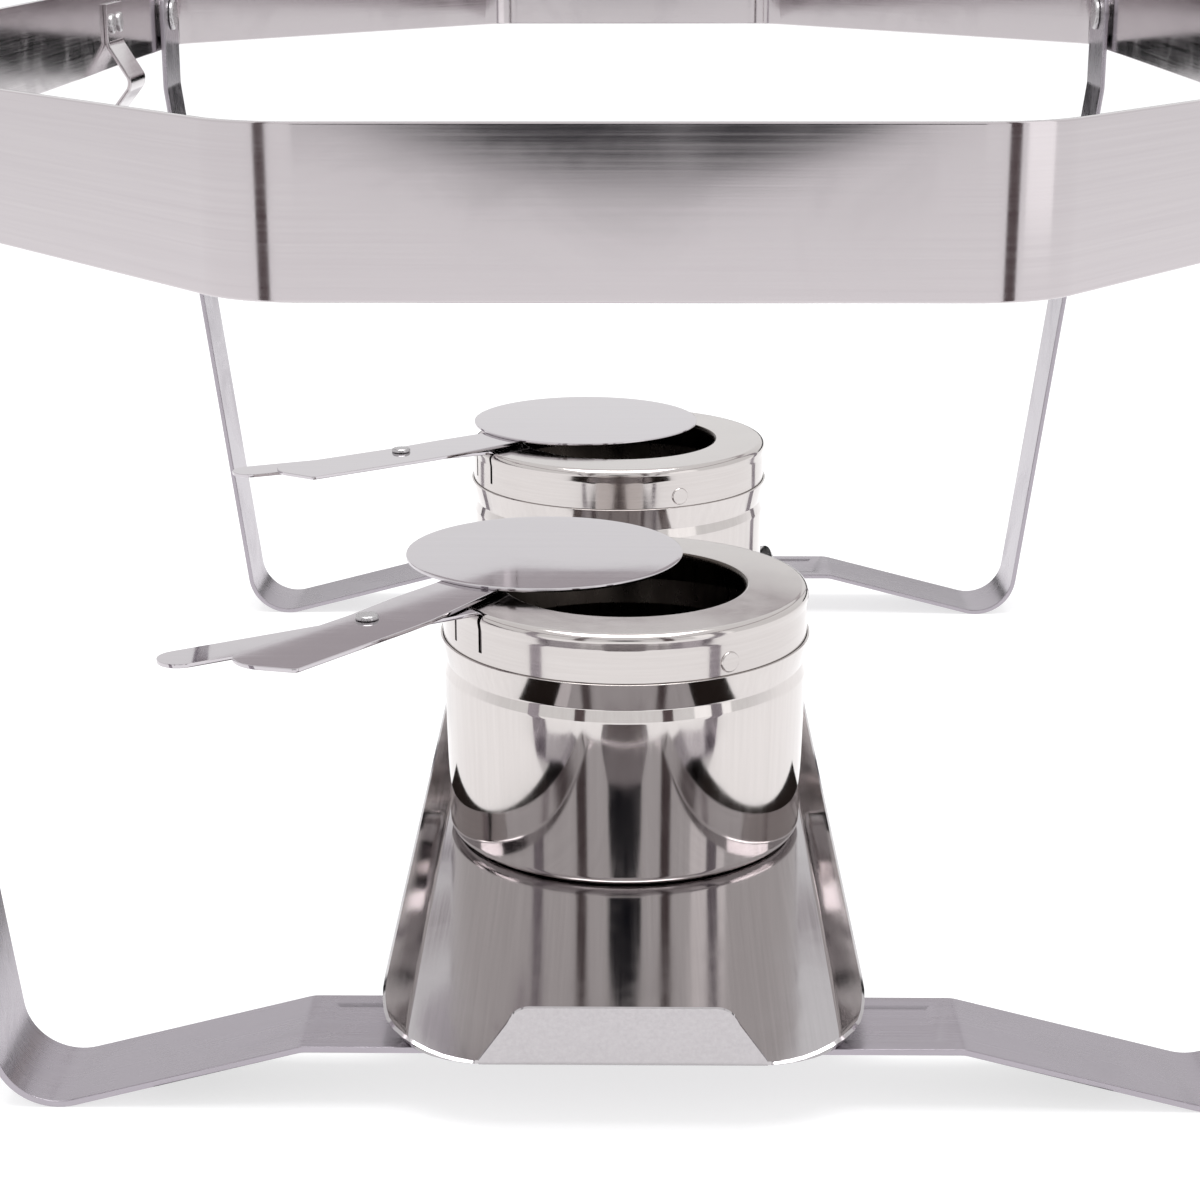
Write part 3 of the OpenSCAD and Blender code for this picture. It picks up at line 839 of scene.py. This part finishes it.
def finish_card(card, name, colour, glow=0.0):
    """Gives a card its colour or glow and hides it from everything but reflections."""
    finish_mesh(card, name)
    material, tree = blank(name + "_card")
    if glow:
        shader = add(tree, "Emission", {"Color": tint(colour), "Strength": glow})
    else:
        shader = add(tree, "BsdfDiffuse", {"Color": tint(colour)})
    add(tree, "OutputMaterial", {"Surface": shader.outputs[0]})
    card.data.materials.append(material)
    card.visible_camera = False
    card.visible_diffuse = False
    card.visible_shadow = False


def make_flag(name, place, width, height, colour="#050505", round_shape=False, glow=0.0):
    """A card standing out of view, turned to the middle of the band's near end."""
    deselect_all()
    place = Vector(place)
    turn = math.atan2(place.x, -(place.y + BAND_LENGTH / 2))
    if round_shape:
        bpy.ops.mesh.primitive_circle_add(vertices=64, radius=0.5, fill_type="NGON",
                                          location=place, rotation=(math.pi / 2, 0, turn))
    else:
        bpy.ops.mesh.primitive_plane_add(size=1, location=place, rotation=(math.pi / 2, 0, turn))
    card = bpy.context.object
    card.scale = (width, height, 1)
    bpy.ops.object.transform_apply(location=True, rotation=True, scale=True)
    finish_card(card, name, colour, glow)


def make_low_card(name, side):
    """A dark card lying beside the near half of the tray."""
    deselect_all()
    bpy.ops.mesh.primitive_plane_add(size=1, location=(side * 78 * MM, -105 * MM, 1 * MM))
    card = bpy.context.object
    card.scale = (48 * MM, 190 * MM, 1)
    bpy.ops.object.transform_apply(location=True, rotation=True, scale=True)
    finish_card(card, name, "#1C1715")


def make_world():
    """A bright white room."""
    world = bpy.data.worlds.new("White_room")
    bpy.context.scene.world = world
    world.use_nodes = True
    tree = world.node_tree
    tree.nodes.clear()
    back = add(tree, "Background", {"Color": (1, 1, 1, 1), "Strength": 1.0})
    add(tree, "OutputWorld", {"Surface": back.outputs[0]})


def make_camera():
    """Low and close, looking along the stand through its near end."""
    deselect_all()
    bpy.ops.object.camera_add(location=(-1.13 * MM, -658.8 * MM, 250.0 * MM))
    camera = bpy.context.object
    camera.data.lens = 72.93
    camera.data.sensor_width = 36
    camera.data.clip_start = 0.01
    camera.rotation_mode = "XYZ"
    camera.rotation_euler = (math.radians(90 - 16.47), math.radians(0.06), math.radians(0.68))
    bpy.context.scene.camera = camera


make_floor()
make_world()
make_light("Overhead_softbox", (0, -0.1, 1.5), (0, -0.1, 0), 1.1, 1.0, 20)
make_flag("Centre_flag", (0, -0.70, 0.25), 0.23, 0.16, "#0A0C14", round_shape=True)
make_flag("Left_flag", (-0.273, -0.613, 0.35), 0.07, 0.66, "#54494A")
make_flag("Right_flag", (0.262, -0.622, 0.35), 0.07, 0.66, "#54494A")
make_flag("Right_strip_light", (1.37, -1.03, 0.6), 0.75, 1.4, "#FFFFFF", glow=1.5)
make_low_card("Left_low", -1)
make_low_card("Right_low", 1)
make_flag("Far_flag", (0, 2.6, 0.18), 4.4, 0.36, "#060608")
make_camera()
bpy.context.scene.view_settings.view_transform = "Standard"
